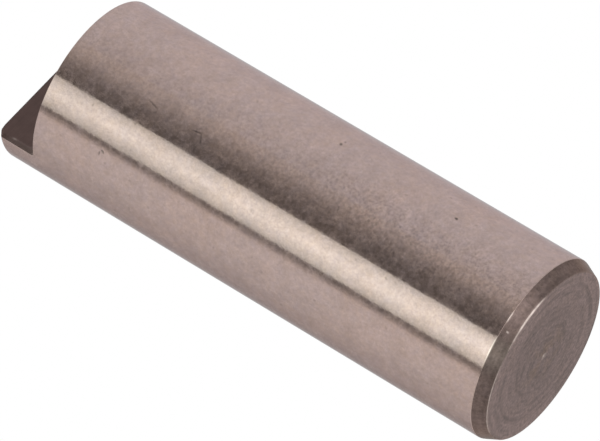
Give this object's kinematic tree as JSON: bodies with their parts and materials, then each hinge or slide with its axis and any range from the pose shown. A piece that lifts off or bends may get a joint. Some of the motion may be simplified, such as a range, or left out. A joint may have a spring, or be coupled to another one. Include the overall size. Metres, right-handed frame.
{
  "type": "planet gear pin",
  "caption": "Ground steel pin that carries a planet gear, with a lead-in chamfer at its plain end and a step cut down to a half-round tab at the other.",
  "frame": {"origin": "centre of the plain end face, which the pin stands on", "axes": "+Z along the pin, from the plain end towards the stepped end; the flat of the step faces -Y"},
  "size_m": [0.025, 0.025, 0.0756],
  "materials": {
    "ground_steel": "satin ground"
  },
  "bodies": {
    "root": {"planet_pin": "ground_steel"}
  },
  "joints": []
}
